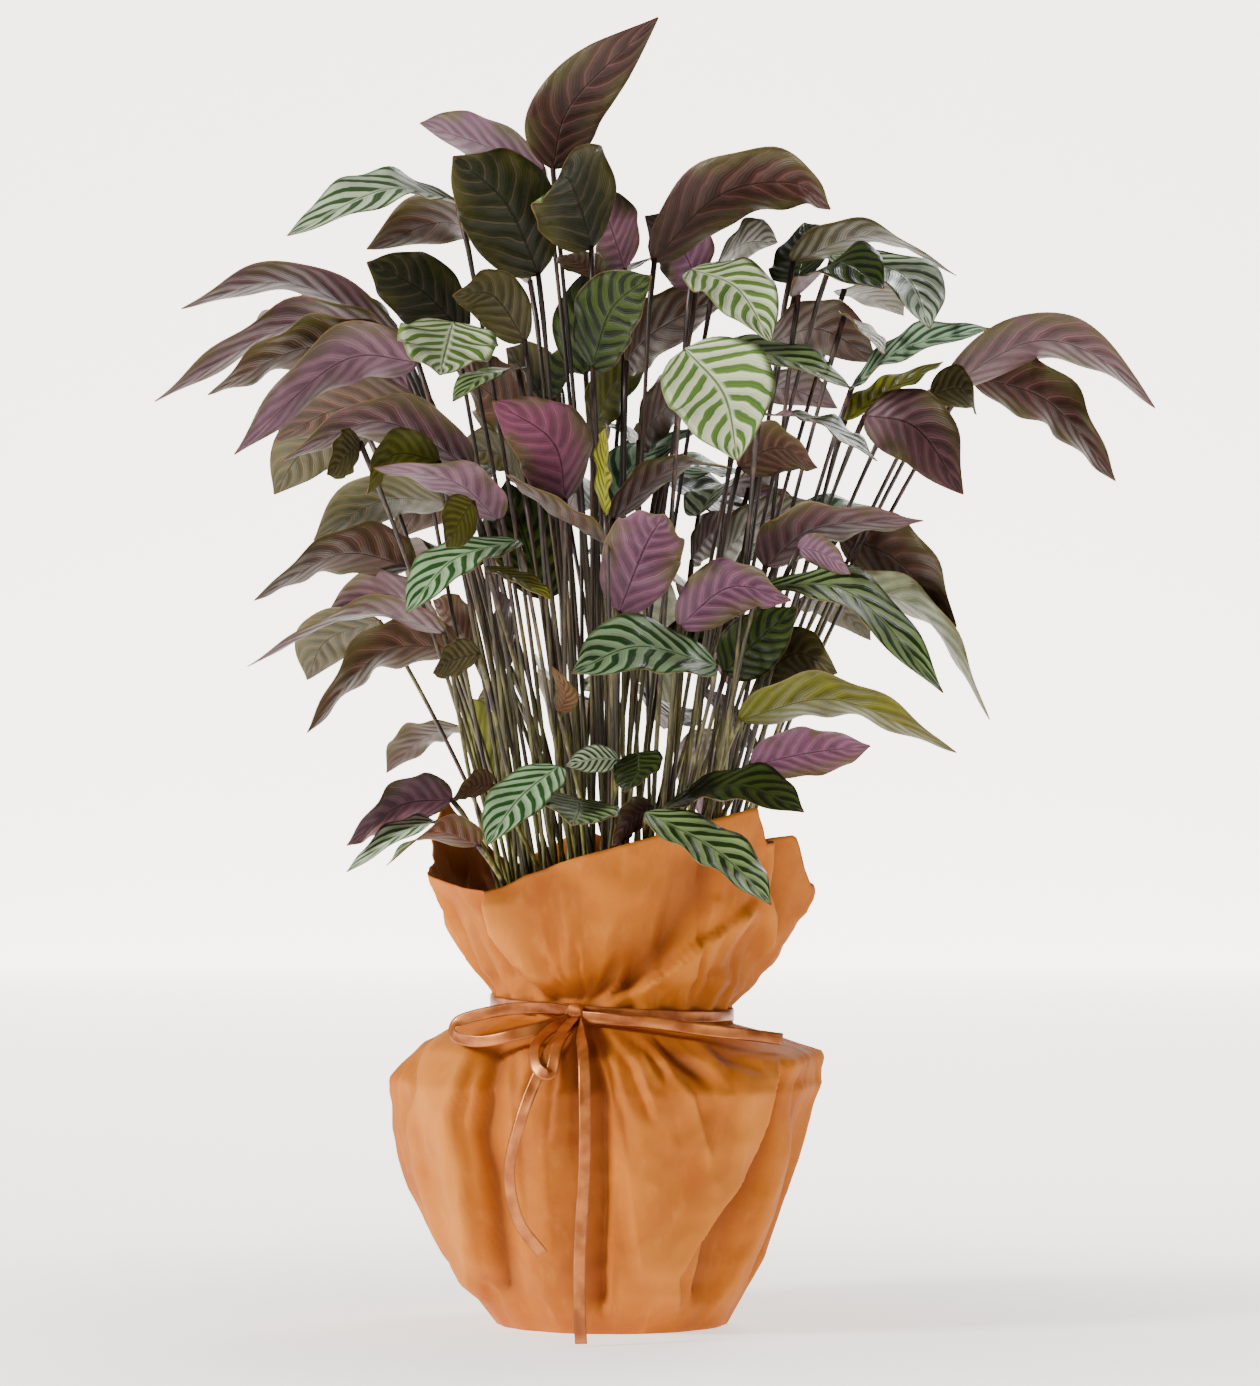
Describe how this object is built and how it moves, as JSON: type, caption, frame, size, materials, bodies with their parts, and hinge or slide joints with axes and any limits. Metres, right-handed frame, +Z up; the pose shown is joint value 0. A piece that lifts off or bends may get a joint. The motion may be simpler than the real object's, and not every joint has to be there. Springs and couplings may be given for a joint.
{
  "type": "potted prayer plant",
  "caption": "Tall bushy prayer plant with feather-striped leaves in a nursery pot wrapped in gathered paper and tied with a ribbon bow.",
  "frame": {"origin": "on the floor under the middle of the pot, on the wrap's flat bottom", "axes": "+Z up, -Y towards the viewer, +X to the right"},
  "size_m": [0.7421, 0.5611, 0.9783],
  "materials": {
    "leaf": "satin",
    "pot_plastic": "matte",
    "soil": "matte",
    "wrap_paper": "matte",
    "ribbon_satin": "satin"
  },
  "bodies": {
    "root": {"shoot_01": "leaf", "shoot_02": "leaf", "shoot_03": "leaf", "shoot_04": "leaf", "shoot_05": "leaf", "shoot_06": "leaf", "shoot_07": "leaf", "shoot_08": "leaf", "shoot_09": "leaf", "shoot_10": "leaf", "shoot_11": "leaf", "shoot_12": "leaf", "shoot_13": "leaf", "shoot_14": "leaf", "shoot_15": "leaf", "shoot_16": "leaf", "shoot_17": "leaf", "shoot_18": "leaf", "shoot_19": "leaf", "shoot_20": "leaf", "shoot_21": "leaf", "shoot_22": "leaf", "shoot_23": "leaf", "shoot_24": "leaf", "shoot_25": "leaf", "shoot_26": "leaf", "shoot_27": "leaf", "shoot_28": "leaf", "shoot_29": "leaf", "shoot_30": "leaf", "shoot_31": "leaf", "shoot_32": "leaf", "shoot_33": "leaf", "shoot_34": "leaf", "shoot_35": "leaf", "shoot_36": "leaf", "shoot_37": "leaf", "nursery_pot": "pot_plastic", "soil": "soil", "paper_wrap": "wrap_paper", "ribbon": "ribbon_satin"}
  },
  "joints": []
}
